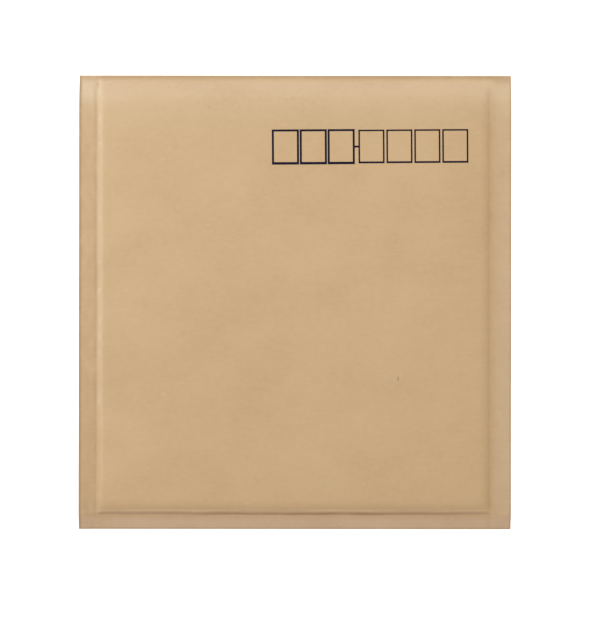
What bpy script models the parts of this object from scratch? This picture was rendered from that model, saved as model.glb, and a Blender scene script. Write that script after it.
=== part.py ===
"""A padded mailing envelope, empty, lying on its back with its flap folded under it.

Two kraft paper sheets are sealed together at the left, right and bottom over two sheets of
bubble film. The front sheet is the longer one: past the mouth it folds over as the flap, which
carries a strip of adhesive under a release paper.

Metres, with +Z up. +X runs to the right of the address side and +Y towards the folded top edge.
The origin is on the floor, under the middle of the envelope.
"""

import math
from functools import partial

import bmesh
import bpy
from mathutils import Matrix, Vector

# Outside size, side edge to side edge and bottom edge to fold
WIDTH = 0.195
HEIGHT = 0.205

# Sealed margins, where all the layers lie flat on each other
LEFT_SEAL = 0.0076
RIGHT_SEAL = 0.0094
BOTTOM_SEAL = 0.0069

# Sheet thicknesses, and the air between two sheets that lie on each other
PAPER = 0.00012
FILM = 0.00008
LAYER_GAP = 0.00005

# Bubbles of the lining, in rows half a pitch out of step, and how far short of the paper's edges
# the film stops
BUBBLE_DIAMETER = 0.0115
BUBBLE_CROWN = 0.0075
BUBBLE_HEIGHT = 0.0032
BUBBLE_PITCH = 0.014
BUBBLE_SIDES = 6
FILM_INSET = 0.0005

# How far the paper takes to rise from a seal, or to fall to the fold, and how roundly. A share of
# the rise comes slowly, over a longer way in from the seal.
SIDE_SHOULDER = 0.005
BOTTOM_SHOULDER = 0.0075
TOP_SLOPE = 0.0162
SHOULDER_ROUNDNESS = 3.0
SLOW_RISE_SHARE = 0.3
SLOW_RISE_WIDTH = 0.028

# How far the sealed layers hang at the bottom edge and at the fold, below their level beside the
# padding
BOTTOM_DROOP = 0.002
FOLD_DROP = 0.0021

# Flap, how far below the fold the mouth's edge is, and the fold's slack round that edge
FLAP_LENGTH = 0.048
MOUTH_SETBACK = 0.004
FOLD_SLACK = 0.0005
FLAP_STEP = 0.005

# Adhesive strip on the flap's inner face, and the release paper over it
STRIP_WIDTH = 0.016
STRIP_THICKNESS = 0.0001
STRIP_FROM_FLAP_EDGE = 0.007
STRIP_FROM_SIDES = 0.004
RELEASE_THICKNESS = 0.00008
RELEASE_OVERHANG = 0.002

# Printed postcode boxes, by their outside sizes: heavy boxes, a dash, then light boxes. The line
# along the bottom of a box is the thickest.
HEAVY_BOXES = 3
HEAVY_BOX = (0.0121, 0.01573)
HEAVY_LINE = 0.00084
HEAVY_BOTTOM_LINE = 0.00105
HEAVY_GAP = 0.00044
DASH_LENGTH = 0.00175
DASH_LINE = 0.00078
LIGHT_BOXES = 4
LIGHT_BOX = (0.01163, 0.01508)
LIGHT_LINE = 0.00063
LIGHT_BOTTOM_LINE = 0.00077
LIGHT_GAP = 0.00094
PRINT_FROM_RIGHT = 0.01965
PRINT_FROM_FOLD = 0.0246
PRINT_TILT = math.radians(0.44)
PRINT_MARGIN = 0.0015

# A vertex this near to a cut counts as on it
CUT_TOLERANCE = 0.000005

# Rows of vertices on the paper's curved stretches, as shares of the stretch
SHOULDER_STATIONS = (0.0, 0.08, 0.18, 0.3, 0.45, 0.7, 1.0)
SLOW_RISE_STATIONS = (0.4, 0.6, 0.8, 1.0)
SLOPE_STATIONS = (0.0, 0.08, 0.18, 0.28, 0.4, 0.54, 0.72, 1.0)
FOLD_SEGMENTS = 8

# Levels above the floor, from the flap up
STRIP_BOTTOM = PAPER + LAYER_GAP
RELEASE_BOTTOM = STRIP_BOTTOM + STRIP_THICKNESS + LAYER_GAP
FLAP_STACK = RELEASE_BOTTOM + RELEASE_THICKNESS + LAYER_GAP
BACK_FILM_BOTTOM = FLAP_STACK + PAPER + LAYER_GAP + BUBBLE_HEIGHT
FRONT_FILM_BOTTOM = BACK_FILM_BOTTOM + FILM + LAYER_GAP
MIDDLE = FRONT_FILM_BOTTOM - LAYER_GAP / 2
BACK_SEAL_LEVEL = BACK_FILM_BOTTOM - LAYER_GAP
FRONT_SEAL_LEVEL = FRONT_FILM_BOTTOM + FILM + LAYER_GAP
FRONT_PAD_LEVEL = FRONT_SEAL_LEVEL + BUBBLE_HEIGHT

# Places across and along the envelope
RIGHT = WIDTH / 2
LEFT = -RIGHT
TOP = HEIGHT / 2
BOTTOM = -TOP
LEFT_SEAM = LEFT + LEFT_SEAL
RIGHT_SEAM = RIGHT - RIGHT_SEAL
BOTTOM_SEAM = BOTTOM + BOTTOM_SEAL
MOUTH = TOP - MOUTH_SETBACK
FOLD_RADIUS = MIDDLE - BACK_SEAL_LEVEL + PAPER + LAYER_GAP + FOLD_SLACK
FOLD_CENTRE = TOP - PAPER - FOLD_RADIUS
FOLD_LEVEL = FRONT_SEAL_LEVEL - FOLD_DROP - FOLD_RADIUS
FLAP_EDGE = TOP - FLAP_LENGTH

KRAFT = (0.610, 0.423, 0.242, 1.0)
INK = (0.019, 0.016, 0.027, 1.0)
CLEAR_FILM = (0.82, 0.86, 0.88, 0.45)
ADHESIVE = (0.80, 0.76, 0.62, 1.0)
RELEASE_PAPER = (0.87, 0.85, 0.78, 1.0)


def clear_scene():
    for obj in list(bpy.data.objects):
        bpy.data.objects.remove(obj, do_unlink=True)


def new_collection(name):
    collection = bpy.data.collections.new(name)
    bpy.context.scene.collection.children.link(collection)
    return collection


def new_material(name, colour, roughness):
    material = bpy.data.materials.new(name)
    material.use_nodes = True
    shader = material.node_tree.nodes["Principled BSDF"]
    shader.inputs["Base Color"].default_value = colour
    shader.inputs["Roughness"].default_value = roughness
    shader.inputs["Metallic"].default_value = 0.0
    shader.inputs["Alpha"].default_value = colour[3]
    material.diffuse_color = colour
    return material


def new_object(name, bm, collection, *materials):
    mesh = bpy.data.meshes.new(name)
    bm.to_mesh(mesh)
    bm.free()
    obj = bpy.data.objects.new(name, mesh)
    collection.objects.link(obj)
    for material in materials:
        mesh.materials.append(material)
    return obj


def s_curve(t):
    """0 to 1 with a level start and a level end."""
    t = min(max(t, 0.0), 1.0)
    return t * t * (3.0 - 2.0 * t)


def rise(distance, shoulder):
    """0 at a seam to 1 well inside: most of it over the shoulder, and the rest slowly."""
    fast = min(max(distance / shoulder, 0.0), 1.0)
    slow = min(max(distance / SLOW_RISE_WIDTH, 0.0), 1.0)
    fast = 1.0 - (1.0 - fast) ** SHOULDER_ROUNDNESS
    slow = 1.0 - (1.0 - slow) ** 2
    return (1.0 - SLOW_RISE_SHARE) * fast + SLOW_RISE_SHARE * slow


def fold_rise(y):
    """0 at the fold to 1 below it, level at both ends and steepest near the fold."""
    t = min(max((FOLD_CENTRE - y) / TOP_SLOPE, 0.0), 1.0)
    return 1.0 - (1.0 - t) ** 4 * (1.0 + 4.0 * t)


def fullness(x, y):
    """How much of the padding's height the paper has: 0 at the seams and the fold, 1 inside."""
    across = rise(x - LEFT_SEAM, SIDE_SHOULDER) * rise(RIGHT_SEAM - x, SIDE_SHOULDER)
    return across * rise(y - BOTTOM_SEAM, BOTTOM_SHOULDER) * fold_rise(y)


def hang(y):
    """How far the sealed layers are below their level beside the padding."""
    past_bottom_seam = max((BOTTOM_SEAM - y) / BOTTOM_SEAL, 0.0)
    return FOLD_DROP * (1.0 - fold_rise(y)) + BOTTOM_DROOP * past_bottom_seam


def front_panel_point(x, y):
    """Inner face of the address side, from the bottom edge up to where the fold starts."""
    low = FRONT_SEAL_LEVEL - hang(y)
    return Vector((x, y, low + (FRONT_PAD_LEVEL - low) * fullness(x, y)))


def fold_point(x, angle):
    """Inner face of the fold, which turns from straight up down to straight down."""
    y = FOLD_CENTRE + FOLD_RADIUS * math.cos(angle)
    return Vector((x, y, FOLD_LEVEL + FOLD_RADIUS * math.sin(angle)))


def flap_point(x, y):
    """Inner face of the flap, which falls from the fold to the floor and then lies on it."""
    fold_end = FOLD_LEVEL - FOLD_RADIUS
    return Vector((x, y, fold_end + (PAPER - fold_end) * fold_rise(y)))


def back_panel_point(x, y):
    """Inner face of the back sheet, which lies on the flap's layers and past them on the floor."""
    on_flap = s_curve((y - FLAP_EDGE + FLAP_STEP) / FLAP_STEP)
    pad_level = PAPER + FLAP_STACK * on_flap
    high = BACK_SEAL_LEVEL - hang(y)
    return Vector((x, y, high + (pad_level - high) * fullness(x, y)))


def film_point(x, y, film_bottom):
    """Lower face of a lining's film, which follows the sealed layers."""
    return Vector((x, y, film_bottom - hang(y)))


def places_from_seam(shoulder):
    """Distances inwards from a seam for the paper's vertices."""
    fast = [t * shoulder for t in SHOULDER_STATIONS]
    return fast + [t * SLOW_RISE_WIDTH for t in SLOW_RISE_STATIONS]


def across_places():
    distances = places_from_seam(SIDE_SHOULDER)
    left = [LEFT_SEAM + distance for distance in distances]
    right = [RIGHT_SEAM - distance for distance in distances]
    return sorted([LEFT, *left, *right, RIGHT])


def bottom_places():
    return [BOTTOM, *(BOTTOM_SEAM + distance for distance in places_from_seam(BOTTOM_SHOULDER))]


def slope_places():
    """From where the fold starts down to where the padding has its full height."""
    return [FOLD_CENTRE - t * TOP_SLOPE for t in SLOPE_STATIONS]


def slope_below(edge):
    """The slope's places that a sheet with that upper edge still has."""
    return [y for y in slope_places() if y < edge]


def curved_sheet(columns, rows):
    """A grid with a column of vertices at each place across, laid along one curve for each row."""
    bm = bmesh.new()
    bmesh.ops.create_grid(bm, x_segments=len(columns) - 1, y_segments=len(rows) - 1, size=1.0)
    for vertex in bm.verts:
        column = round((vertex.co.x + 1.0) / 2.0 * (len(columns) - 1))
        row = round((vertex.co.y + 1.0) / 2.0 * (len(rows) - 1))
        vertex.co = rows[row](columns[column])
    for face in bm.faces:
        face.smooth = True
    for edge in bm.edges:
        edge.smooth = not edge.is_boundary
    return bm


def thicken(sheet, thickness, side):
    """Gives a sheet its thickness, up its normals for side 1 and down them for side -1."""
    solidify = sheet.modifiers.new("thickness", "SOLIDIFY")
    solidify.thickness = thickness
    solidify.offset = side
    return solidify


def printed_rectangles():
    """(outer, inner) for each printed box, and (outer, None) for the dash.

    A rectangle is (low x, high x, low y, high y) from the middle of the print, before its tilt.
    """
    heavy = (*HEAVY_BOX, HEAVY_LINE, HEAVY_BOTTOM_LINE)
    light = (*LIGHT_BOX, LIGHT_LINE, LIGHT_BOTTOM_LINE)
    dash = (DASH_LENGTH, DASH_LINE, 0.0, 0.0)
    shapes = [(heavy, HEAVY_GAP)] * (HEAVY_BOXES - 1) + [(heavy, 0.0), (dash, 0.0)]
    shapes += [(light, LIGHT_GAP)] * (LIGHT_BOXES - 1) + [(light, 0.0)]
    length = sum(shape[0] + gap for shape, gap in shapes)
    rectangles = []
    low_x = -length / 2
    for (width, height, line, bottom_line), gap in shapes:
        high_x, low_y, high_y = low_x + width, -height / 2, height / 2
        inner = (low_x + line, high_x - line, low_y + bottom_line, high_y - line)
        rectangles.append(((low_x, high_x, low_y, high_y), inner if line else None))
        low_x = high_x + gap
    return rectangles


def print_field(rectangles):
    """The rectangle round the whole print, with room for its tilt."""
    low_x, high_x = rectangles[0][0][0], rectangles[-1][0][1]
    reach_y = HEAVY_BOX[1] / 2 + PRINT_MARGIN
    return low_x - PRINT_MARGIN, high_x + PRINT_MARGIN, -reach_y, reach_y


def print_frame(field):
    """From the print's own middle to its place on the address side."""
    x = RIGHT - PRINT_FROM_RIGHT + PRINT_MARGIN - field[1]
    y = TOP - PRINT_FROM_FOLD - HEAVY_BOX[1] / 2
    return Matrix.Translation((x, y, FRONT_PAD_LEVEL)) @ Matrix.Rotation(PRINT_TILT, 4, "Z")


def inside(point, rectangle):
    low_x, high_x, low_y, high_y = rectangle
    return low_x < point.x < high_x and low_y < point.y < high_y


def faces_inside(bm, frame, rectangle):
    """The faces of the padded front, with their middle inside a rectangle of the print."""
    to_print = frame.inverted()
    found = []
    for face in bm.faces:
        middle = to_print @ face.calc_center_median()
        if middle.z > -BUBBLE_HEIGHT and inside(middle, rectangle):
            found.append(face)
    return found


def cut_line(bm, frame, region, place, normal):
    """Cuts the faces of a region of the print along one straight line."""
    faces = faces_inside(bm, frame, region)
    edges = {edge for face in faces for edge in face.edges}
    corners = {corner for face in faces for corner in face.verts}
    bmesh.ops.bisect_plane(
        bm,
        geom=[*faces, *edges, *corners],
        dist=CUT_TOLERANCE,
        plane_co=frame @ Vector(place),
        plane_no=frame.to_3x3() @ Vector(normal),
    )


def cut_rectangle(bm, frame, region, rectangle):
    """Cuts a rectangle's sides into the faces of the region that it lies in."""
    low_x, high_x, low_y, high_y = rectangle
    column = (low_x, high_x, region[2], region[3])
    for x in (low_x, high_x):
        cut_line(bm, frame, region, (x, 0, 0), (1, 0, 0))
    for y in (low_y, high_y):
        cut_line(bm, frame, column, (0, y, 0), (0, 1, 0))


def add_print(bm, frame, field, rectangles, ink_slot, paper_slot):
    """Cuts the postcode boxes into the sheet's faces and gives their lines the ink's slot."""
    for outer, inner in rectangles:
        cut_rectangle(bm, frame, field, outer)
        if inner:
            cut_rectangle(bm, frame, outer, inner)
    for face in bm.faces:
        face.material_index = paper_slot
    for outer, inner in rectangles:
        for face in faces_inside(bm, frame, outer):
            face.material_index = ink_slot
        for face in faces_inside(bm, frame, inner) if inner else ():
            face.material_index = paper_slot


def build_front_sheet(collection, kraft, ink):
    """One sheet of kraft: the address side, the fold along the top and the flap behind."""
    rectangles = printed_rectangles()
    field = print_field(rectangles)
    frame = print_frame(field)
    middle = frame.translation
    columns = sorted([*across_places(), middle.x + field[0], middle.x + field[1]])
    print_rows = [middle.y + field[2], middle.y + field[3]]
    panel = sorted([*bottom_places(), *print_rows, *slope_places()])
    fold = [math.pi / 2 - math.pi * i / FOLD_SEGMENTS for i in range(1, FOLD_SEGMENTS)]
    flap = [*slope_places(), FLAP_EDGE]
    rows = [partial(front_panel_point, y=y) for y in panel]
    rows += [partial(fold_point, angle=angle) for angle in fold]
    rows += [partial(flap_point, y=y) for y in flap]
    bm = curved_sheet(columns, rows)
    # The slots are the ink, the bare outside and the bare inside. The inner face's slots are one
    # higher, so the print stays on the outside.
    add_print(bm, frame, field, rectangles, ink_slot=0, paper_slot=1)
    sheet = new_object("front_sheet", bm, collection, ink, kraft, kraft)
    thicken(sheet, PAPER, 1).material_offset = 1


def build_back_sheet(collection, kraft):
    """The shorter sheet of kraft. Its upper edge is the mouth's edge, under the fold."""
    step = [FLAP_EDGE - FLAP_STEP + t * FLAP_STEP for t in (0.0, 0.25, 0.5, 0.75, 1.0)]
    places = sorted([*bottom_places(), *step, *slope_below(MOUTH), MOUTH])
    bm = curved_sheet(across_places(), [partial(back_panel_point, y=y) for y in places])
    sheet = new_object("back_sheet", bm, collection, kraft)
    thicken(sheet, PAPER, -1)


def build_flat_layer(name, low, high, collection, material):
    """A flat piece between two opposite corners."""
    low, high = Vector(low), Vector(high)
    bm = bmesh.new()
    matrix = Matrix.Translation((low + high) / 2) @ Matrix.Diagonal((*(high - low), 1.0))
    bmesh.ops.create_cube(bm, size=1.0, matrix=matrix)
    return new_object(name, bm, collection, material)


def spread(low, high, pitch):
    """As many evenly spaced places as fit between two ends, centred between them."""
    count = int((high - low) / pitch) + 1
    start = (low + high - (count - 1) * pitch) / 2
    return [start + i * pitch for i in range(count)]


def bubble_places():
    """(x, y, height) of each bubble. The rows are staggered, between the shoulders and the slope.

    A bubble is lower where the paper over it is.
    """
    radius = BUBBLE_DIAMETER / 2
    low_x = LEFT_SEAM + SIDE_SHOULDER + radius
    high_x = RIGHT_SEAM - SIDE_SHOULDER - radius
    low_y = BOTTOM_SEAM + BOTTOM_SHOULDER + radius
    high_y = FOLD_CENTRE - TOP_SLOPE - radius
    long_row = spread(low_x, high_x, BUBBLE_PITCH)
    short_row = [x + BUBBLE_PITCH / 2 for x in long_row[:-1]]
    row_pitch = BUBBLE_PITCH * math.sqrt(3) / 2
    for number, y in enumerate(spread(low_y, high_y, row_pitch)):
        for x in short_row if number % 2 else long_row:
            reach = ((x - radius, y), (x + radius, y), (x, y - radius), (x, y + radius))
            yield x, y, BUBBLE_HEIGHT * min(fullness(*place) for place in reach)


def build_bubble_liner(name, film_bottom, side, collection, tools, material):
    """A film with bubbles on its upper face for side 1 and on its lower face for side -1."""
    film_top = MOUTH - FILM_INSET
    places = [BOTTOM + FILM_INSET, BOTTOM_SEAM, *sorted(slope_below(film_top)), film_top]
    rows = [partial(film_point, y=y, film_bottom=film_bottom) for y in places]
    film = curved_sheet([LEFT + FILM_INSET, RIGHT - FILM_INSET], rows)
    liner = new_object(name, film, collection, material)
    thicken(liner, FILM, 1)
    bm = bmesh.new()
    film_middle = film_bottom + FILM / 2
    upright = Matrix.Identity(4) if side > 0 else Matrix.Rotation(math.pi, 4, "X")
    for x, y, height in bubble_places():
        depth = height + FILM / 2
        bmesh.ops.create_cone(
            bm,
            cap_ends=True,
            segments=BUBBLE_SIDES,
            radius1=BUBBLE_DIAMETER / 2,
            radius2=BUBBLE_CROWN / 2,
            depth=depth,
            matrix=Matrix.Translation((x, y, film_middle + side * depth / 2)) @ upright,
        )
    bubbles = new_object(name + "_bubbles", bm, tools, material)
    bubbles.hide_render = True
    bubbles.display_type = "WIRE"
    union = liner.modifiers.new("bubbles", "BOOLEAN")
    union.operation = "UNION"
    union.object = bubbles


def build_strip(collection, material):
    """Double-sided tape along the flap, near its free edge."""
    low_y = FLAP_EDGE + STRIP_FROM_FLAP_EDGE
    low = (LEFT + STRIP_FROM_SIDES, low_y, STRIP_BOTTOM)
    high = (RIGHT - STRIP_FROM_SIDES, low_y + STRIP_WIDTH, STRIP_BOTTOM + STRIP_THICKNESS)
    build_flat_layer("adhesive_strip", low, high, collection, material)


def build_release_liner(collection, material):
    """The paper that covers the tape and reaches past it on every side."""
    side = STRIP_FROM_SIDES - RELEASE_OVERHANG
    low_y = FLAP_EDGE + STRIP_FROM_FLAP_EDGE - RELEASE_OVERHANG
    high_y = low_y + STRIP_WIDTH + 2 * RELEASE_OVERHANG
    low = (LEFT + side, low_y, RELEASE_BOTTOM)
    high = (RIGHT - side, high_y, RELEASE_BOTTOM + RELEASE_THICKNESS)
    build_flat_layer("release_liner", low, high, collection, material)


def build_envelope():
    clear_scene()
    envelope = new_collection("mailing_envelope")
    tools = new_collection("cutters")
    front_kraft = new_material("front_kraft", KRAFT, 0.8)
    back_kraft = new_material("back_kraft", KRAFT, 0.8)
    ink = new_material("ink", INK, 0.7)
    front_film = new_material("front_film", CLEAR_FILM, 0.25)
    back_film = new_material("back_film", CLEAR_FILM, 0.25)
    build_front_sheet(envelope, front_kraft, ink)
    build_back_sheet(envelope, back_kraft)
    build_bubble_liner("front_bubble_liner", FRONT_FILM_BOTTOM, 1, envelope, tools, front_film)
    build_bubble_liner("back_bubble_liner", BACK_FILM_BOTTOM, -1, envelope, tools, back_film)
    build_strip(envelope, new_material("adhesive", ADHESIVE, 0.4))
    build_release_liner(envelope, new_material("release_paper", RELEASE_PAPER, 0.35))


build_envelope()
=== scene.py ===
"""Looks of a padded kraft mailing envelope that lies on its back, seen from straight above.

The paper sheets and the bubble lining are remade as fine meshes over the CAD solids, in metres and
in their frame: +X to the right of the address side, +Y towards the folded top edge.
"""

import math

import bmesh
import bpy
from mathutils import Matrix, Vector, noise


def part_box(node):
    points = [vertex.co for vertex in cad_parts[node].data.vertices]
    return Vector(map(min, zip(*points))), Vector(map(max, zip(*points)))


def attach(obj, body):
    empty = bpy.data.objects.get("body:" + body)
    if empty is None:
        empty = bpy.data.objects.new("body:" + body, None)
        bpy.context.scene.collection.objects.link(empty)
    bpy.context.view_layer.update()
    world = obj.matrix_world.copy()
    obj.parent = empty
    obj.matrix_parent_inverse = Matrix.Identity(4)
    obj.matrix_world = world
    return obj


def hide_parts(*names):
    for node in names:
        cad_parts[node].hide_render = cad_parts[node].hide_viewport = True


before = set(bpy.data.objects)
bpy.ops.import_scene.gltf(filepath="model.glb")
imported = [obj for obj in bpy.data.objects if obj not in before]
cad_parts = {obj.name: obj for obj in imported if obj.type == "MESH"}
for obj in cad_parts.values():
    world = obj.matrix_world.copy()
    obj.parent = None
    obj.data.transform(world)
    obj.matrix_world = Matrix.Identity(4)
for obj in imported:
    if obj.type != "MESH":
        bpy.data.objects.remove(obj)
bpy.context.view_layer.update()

# Places and levels read from the CAD solids
front_low, front_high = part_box("front_sheet")
release_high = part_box("release_liner")[1]
LEFT, RIGHT, TOP = front_low.x, front_high.x, front_high.y
BOTTOM = -TOP

# Sizes of the CAD model, repeated because only its solids can be read
LEFT_SEAL = 0.0076
RIGHT_SEAL = 0.0094
BOTTOM_SEAL = 0.0069
PAPER = 0.00012
FILM = 0.00008
LAYER_GAP = 0.00005
BUBBLE_DIAMETER = 0.0115
BUBBLE_HEIGHT = 0.0032
BUBBLE_PITCH = 0.014
FILM_INSET = 0.0005
SIDE_SHOULDER = 0.005
BOTTOM_SHOULDER = 0.0075
TOP_SLOPE = 0.0162
SHOULDER_ROUNDNESS = 3.0
SLOW_RISE_SHARE = 0.3
SLOW_RISE_WIDTH = 0.028
BOTTOM_DROOP = 0.002
FOLD_DROP = 0.0021
FLAP_LENGTH = 0.048
MOUTH_SETBACK = 0.004
FOLD_SLACK = 0.0005
FLAP_STEP = 0.005

FRONT_PAD_LEVEL = front_high.z - PAPER
FRONT_SEAL_LEVEL = FRONT_PAD_LEVEL - BUBBLE_HEIGHT
FRONT_FILM_BOTTOM = FRONT_SEAL_LEVEL - LAYER_GAP - FILM
MIDDLE = FRONT_FILM_BOTTOM - LAYER_GAP / 2
BACK_FILM_BOTTOM = MIDDLE - LAYER_GAP / 2 - FILM
BACK_SEAL_LEVEL = BACK_FILM_BOTTOM - LAYER_GAP
FLAP_STACK = release_high.z + LAYER_GAP
LEFT_SEAM = LEFT + LEFT_SEAL
RIGHT_SEAM = RIGHT - RIGHT_SEAL
BOTTOM_SEAM = BOTTOM + BOTTOM_SEAL
MOUTH = TOP - MOUTH_SETBACK
FOLD_RADIUS = MIDDLE - BACK_SEAL_LEVEL + PAPER + LAYER_GAP + FOLD_SLACK
FOLD_CENTRE = TOP - PAPER - FOLD_RADIUS
FOLD_LEVEL = FRONT_SEAL_LEVEL - FOLD_DROP - FOLD_RADIUS
FLAP_EDGE = TOP - FLAP_LENGTH

# Printed postcode boxes, by their outside sizes: heavy boxes, a dash, then light boxes. The line
# along the bottom of a box is the thickest.
HEAVY_BOXES = 3
HEAVY_BOX = (0.0121, 0.01573)
HEAVY_LINE = 0.00084
HEAVY_BOTTOM_LINE = 0.00105
HEAVY_GAP = 0.00044
DASH_LENGTH = 0.00175
DASH_LINE = 0.00078
LIGHT_BOXES = 4
LIGHT_BOX = (0.01163, 0.01508)
LIGHT_LINE = 0.00063
LIGHT_BOTTOM_LINE = 0.00077
LIGHT_GAP = 0.00094
PRINT_FROM_RIGHT = 0.01965
PRINT_FROM_FOLD = 0.0246
PRINT_TILT = math.radians(0.44)
# How far the ink has spread past the printed sizes, on each side of a line
INK_SPREAD = 0.00005

# Unevenness of the real paper, as heights and as lengths along the paper
SEAM_WANDER = 0.00012
BOTTOM_SEAM_WANDER = 1.6 * SEAM_WANDER
SIDE_WANDER_LENGTH = 0.009
BOTTOM_WANDER_LENGTH = 0.012
LEFT_SETBACK = 0.00065
LEFT_TOE = 0.0005
LEFT_SHOULDER = 0.0036
RIGHT_TOE = 0.0004
FOLD_TAIL = 0.022
LEFT_GROOVE_DEPTH = 0.00003
LEFT_GROOVE_WIDTH = 0.0005
BOTTOM_GROOVE_DEPTH = 0.0005
BOTTOM_GROOVE_WIDTH = 0.0005
SLIT_PLACE = 0.0001
LIP_HEIGHT = 0.0005
LIP_WIDTH = 0.0005
LIP_PLACE = 0.0013
# The lip's share of its height, and how much the share changes along it, as (share, length, seed)
LIP_SHARE = 0.65
LIP_CHANGES = ((0.5, 0.024, 7), (0.4, 0.0075, 17))
LIP_END_LENGTH = 0.003
PUCKER_HEIGHT = 0.00009
PUCKER_LENGTH = 0.0042
PUCKER_REACH = 0.005
PUCKER_STRETCH = 0.35
BOTTOM_PUCKER_START = 0.0006
MARGIN_WAVE = 0.00018
MARGIN_WAVE_LENGTH = 0.021
LEFT_MARGIN_CURL = 0.0008
CURL_START = 0.01
CURL_LENGTH = 0.10
BUBBLE_RELIEF = 0.00003
SWELL = 0.00017
SWELL_LENGTH = 0.070
CREASE_HEIGHT = 0.00004
CREASE_BREADTH = 0.0011
PINCH_DEPTH = 0.00015
PINCH_SIZE = (0.0005, 0.0012)

# The slit over the bottom seam opens and closes in steps of (share, start, length), by the distance
# from a side seam. It gapes from the tight share up to 1 over a (start, length).
SLIT_OPENS = ((0.55, -0.0062, 0.002), (0.45, -0.0003, 0.0012))
SLIT_CLOSES = ((0.6, -0.006, 0.004), (0.4, -0.001, 0.0025))
LEFT_TIGHTNESS = 0.35
LEFT_GAPE = (0.034, 0.030)
RIGHT_TIGHTNESS = 0.4
RIGHT_GAPE = (0.004, 0.050)

# Where the paper's tones rise from 0 to 1, as (start, length) along a distance: past a seam, below
# the fold, in from the outline or up the sheet
PAST_LEFT = (-0.001, 0.002)
PAST_RIGHT = (0.0002, 0.003)
PAST_BOTTOM = (0.0004, 0.002)
OFF_FOLD = (0.0008, 0.003)
BELOW_FOLD = (0.005, 0.005)
GLOW_END = (0.004, 0.013)
MARGIN_GLOW_END = (0.009, 0.011)
MARGIN_GLOW_LEFT = (-0.004, 0.008)
RIGHT_LIGHT_END = (0.012, 0.014)
BEADS_BELOW_FOLD = (0.0, 0.02)
LOW_PALE = (-0.012, 0.012)
OVER_BOTTOM = (-0.005, 0.005)
TOWARDS_LEFT_END = (0.002, 0.030)
SEAM_LIGHT_HEIGHTS = (-0.078, 0.065)
CUT_EDGE_END = (0.0003, 0.0006)
LEFT_EDGE_END = (0.0006, 0.0010)
FOLD_EDGE_LEFT = (-0.003, 0.006)
FOLD_EDGE_WIDTH = 0.0032
FOLD_EDGE_WIDER_AT_RIGHT = 0.0026
LOW_SHADE_END = (0.012, 0.02)

# Soft lines of painted highlight and painted shade along the seams, in the slit and below the fold,
# as (place, breadth, strength)
FOLD_GLOW = (0.017, 0.006, 0.14)
LEFT_LIGHT = (0.0012, 0.0009, 0.3)
RIGHT_LIGHT = (0.0006, 0.0015, 0.2)
LIGHT_BEADS = (0.0012, 0.0005, 1.0)
LEFT_SHADE = (-0.001, 0.0006, 0.18)
LOW_LEFT_SHADE = (0.0014, 0.0012, 0.10)
LOW_RIGHT_SHADE = (0.0008, 0.0011, 0.15)
BOTTOM_SHADE = (0.003, 0.002, 0.12)
RIGHT_SHADE_SPOTS = (0.0, 0.0006, 0.7)
SLIT_CORE = (SLIT_PLACE, 0.0005, 1.0)
SLIT_BELOW = (SLIT_PLACE, 0.0018, 0.25)
SLIT_ABOVE = (SLIT_PLACE, 0.0018, 0.10)
SLIT_LEFT_END = (0.002, 0.003, 0.25)

# Lengths of the tones' uneven parts, and the size of the painted shade in the pinch
BEAD_LENGTH = 0.0030
SPOT_LENGTH = 0.0045
SLIT_CHANGE_LENGTH = 0.012
LEFT_MOTTLE_LENGTH = 0.004
MOTTLE_LENGTH = 0.006
PINCH_SHADE = (0.0004, 0.0010)

# The photograph's frame: its size, the envelope's width and middle in it, and its slight turn
FRAME_WIDTH = 600
FRAME_HEIGHT = 617
ENVELOPE_PIXELS = 432.25
ENVELOPE_CENTRE = (295.0, 302.15)
ENVELOPE_TURN = math.radians(0.065)
LENS = 135.0
SENSOR = 36.0
PIXEL = (RIGHT - LEFT) / ENVELOPE_PIXELS

# Spacing of the fine meshes, in the flat middle and where the paper bends sharply, and how far the
# fine spacing reaches from the side seams and from the bottom seam
COARSE = 0.0014
FINE = 0.0004
MEDIUM = 0.0008
LINING_STEP = 0.004
FOLD_STEPS = 16
BESIDE_SEAM = 0.0024
BELOW_SEAM = 0.0012
ABOVE_SEAM = 0.0036
CUT_TOLERANCE = 0.000005

DOME_SIDES = 16
DOME_RINGS = 12
DOME_STEEPNESS = 0.7
BUBBLE_CLEARANCE = 0.0001

FLOOR_SIZE = 3.0
FLOOR_GAP = 0.0001


def s_curve(t):
    """0 to 1 with a level start and a level end."""
    t = min(max(t, 0.0), 1.0)
    return t * t * (3.0 - 2.0 * t)


def ramp(distance, start, length):
    """0 up to the start, then rising to 1 over the length."""
    return s_curve((distance - start) / length)


def shoulder(t):
    """0 to 1 with a steep start and a level end, as paper rises from a seal."""
    t = min(max(t, 0.0), 1.0)
    return 1.0 - (1.0 - t) ** SHOULDER_ROUNDNESS


def rise(distance, width):
    """0 at a seam to 1 well inside: most of it within width, and the rest slowly."""
    slow = min(max(distance / SLOW_RISE_WIDTH, 0.0), 1.0)
    slow = 1.0 - (1.0 - slow) ** 2
    return (1.0 - SLOW_RISE_SHARE) * shoulder(distance / width) + SLOW_RISE_SHARE * slow


def eased(distance, toe):
    """A distance from a seam that starts slowly, so that the paper leaves the seal smoothly."""
    return math.hypot(distance, toe) - toe if distance > 0.0 else 0.0


def fold_rise(y):
    """0 at the fold to 1 below it, level at both ends and steepest near the fold."""
    t = min(max((FOLD_CENTRE - y) / FOLD_TAIL, 0.0), 1.0)
    return 1.0 - (1.0 - t) ** 5 * (1.0 + 5.0 * t)


def hump(distance, width):
    """1 at no distance, fading to 0 on both sides."""
    return math.exp(-((distance / width) ** 2))


def band(distance, place, breadth, strength):
    """A soft line of tone at a place, strongest in its middle."""
    return strength * hump(distance - place, breadth)


def ripple(place, length, seed):
    """Smooth noise along a line, between -1 and 1. Each use has a seed of its own."""
    return noise.noise(Vector((place / length, 11.3 * seed, 5.7)))


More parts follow.
